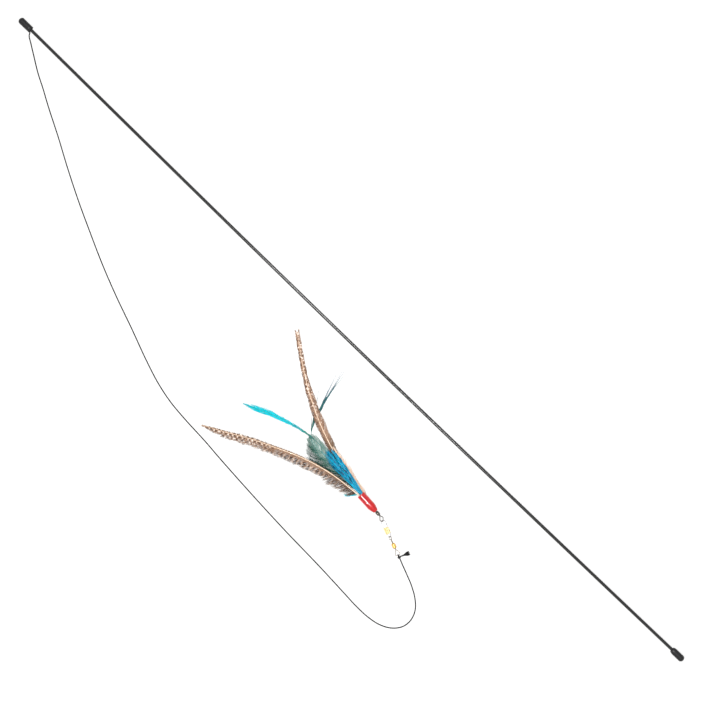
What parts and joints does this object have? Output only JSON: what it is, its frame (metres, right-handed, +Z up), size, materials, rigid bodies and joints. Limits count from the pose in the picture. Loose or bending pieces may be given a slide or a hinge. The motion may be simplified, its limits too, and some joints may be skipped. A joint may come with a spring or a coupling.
{
  "type": "cat feather wand",
  "caption": "Slim black rod with vinyl end caps and a braided line to a snap swivel, which holds a spinning lure of barred, blue and turquoise feathers in a red cap.",
  "frame": {"origin": "on the table, under the middle of the box of the rod, caps, lure swivel and lure, without the line and the snap swivel on it", "axes": "+X along the rod from butt to tip, +Y from the rod towards the lure, +Z up from the table"},
  "size_m": [0.92, 0.192, 0.0084],
  "materials": {
    "fibreglass": "gloss black fibreglass",
    "black_vinyl": "soft satin dip-moulded vinyl",
    "line": "matt black braided nylon",
    "brass": "bright brass",
    "swivel_wire": "bright drawn wire",
    "snap_wire": "bright drawn wire",
    "black_nickel": "black nickel plated brass",
    "red_vinyl": "glossy red dip-moulded vinyl",
    "glue": "set hot-melt glue",
    "barred_feather": "natural feather with brown bars",
    "turquoise_feather": "dyed feather, soft sheen",
    "teal_feather": "dyed feather, soft sheen",
    "blue_feather": "dyed feather, soft sheen",
    "beige_feather": "natural feather",
    "downy_feather": "dyed down, loose barbs"
  },
  "bodies": {
    "wand": {"rod": "fibreglass", "butt_cap": "black_vinyl", "tip_cap": "black_vinyl", "stopper_knot": "line", "line_tail": "line"},
    "line": {"line": "line", "line_knot": "line", "line_tag_end": "line"},
    "line_eye": {"swivel_line_eye": "swivel_wire"},
    "swivel_barrel": {"swivel_barrel": "brass"},
    "snap_eye": {"swivel_snap_eye": "swivel_wire"},
    "snap": {"snap_wire": "snap_wire", "snap_clasp": "brass"},
    "latch_arm": {"snap_latch_arm": "snap_wire"},
    "lure_ring": {"lure_swivel_ring": "black_nickel"},
    "lure_barrel": {"lure_swivel_barrel": "black_nickel"},
    "lure": {"lure_swivel_inner_eye": "black_nickel", "head_cap": "red_vinyl", "glue_plug": "glue", "barred_feather_long_quill": "barred_feather", "barred_feather_long_vane": "barred_feather", "barred_feather_upright_quill": "barred_feather", "barred_feather_upright_vane": "barred_feather", "turquoise_hackle_quill": "turquoise_feather", "turquoise_hackle_vane": "turquoise_feather", "teal_hackle_quill": "teal_feather", "teal_hackle_vane": "teal_feather", "blue_feather_inner_quill": "blue_feather", "blue_feather_inner_vane": "blue_feather", "blue_feather_outer_quill": "blue_feather", "blue_feather_outer_vane": "blue_feather", "beige_feather_quill": "beige_feather", "beige_feather_vane": "beige_feather", "downy_feather_quill": "downy_feather", "downy_feather_vane": "downy_feather", "cyan_tuft_quill": "turquoise_feather", "cyan_tuft_vane": "turquoise_feather"}
  },
  "joints": [
    {"name": "line_swing", "type": "hinge", "parent": "wand", "child": "line", "pos_m": [0.442, -0.07647, 0.0029], "axis": [0, 0, -1], "range_deg": [0, 120]},
    {"name": "line_eye_pivot", "type": "hinge", "parent": "line", "child": "line_eye", "pos_m": [-0.18337, 0.04068, 0.0021], "axis": [-0.3649, -0.9311, 0], "range_deg": [0, 60]},
    {"name": "swivel_barrel_spin", "type": "hinge", "parent": "line_eye", "child": "swivel_barrel", "pos_m": [-0.1735, 0.03681, 0.0021], "axis": [0.9311, -0.3649, 0], "continuous": true},
    {"name": "swivel_turn", "type": "hinge", "parent": "line_eye", "child": "snap_eye", "pos_m": [-0.1735, 0.03681, 0.0021], "axis": [0.9311, -0.3649, 0], "range_deg": [-75, 75]},
    {"name": "snap_tilt", "type": "hinge", "parent": "snap_eye", "child": "snap", "pos_m": [-0.16476, 0.03338, 0.0021], "axis": [-0.3649, -0.9311, 0], "range_deg": [0, 60]},
    {"name": "snap_open", "type": "hinge", "parent": "snap", "child": "latch_arm", "pos_m": [-0.15122, 0.02544, 0.00382], "axis": [0.2093, 0.534, 0.8192], "range_deg": [0, 25], "stiffness_Nm_per_rad": 0.001},
    {"name": "lure_ring_tilt", "type": "hinge", "parent": "snap", "child": "lure_ring", "pos_m": [-0.14753, 0.02663, 0.0021], "axis": [-0.0663, -0.9978, 0], "range_deg": [0, 45]},
    {"name": "lure_barrel_spin", "type": "hinge", "parent": "lure_ring", "child": "lure_barrel", "pos_m": [-0.1392, 0.02463, 0.00421], "axis": [0.9978, -0.0663, 0], "continuous": true},
    {"name": "lure_spin", "type": "hinge", "parent": "lure_ring", "child": "lure", "pos_m": [-0.13646, 0.02445, 0.00421], "axis": [0.9978, -0.0663, 0], "continuous": true}
  ]
}
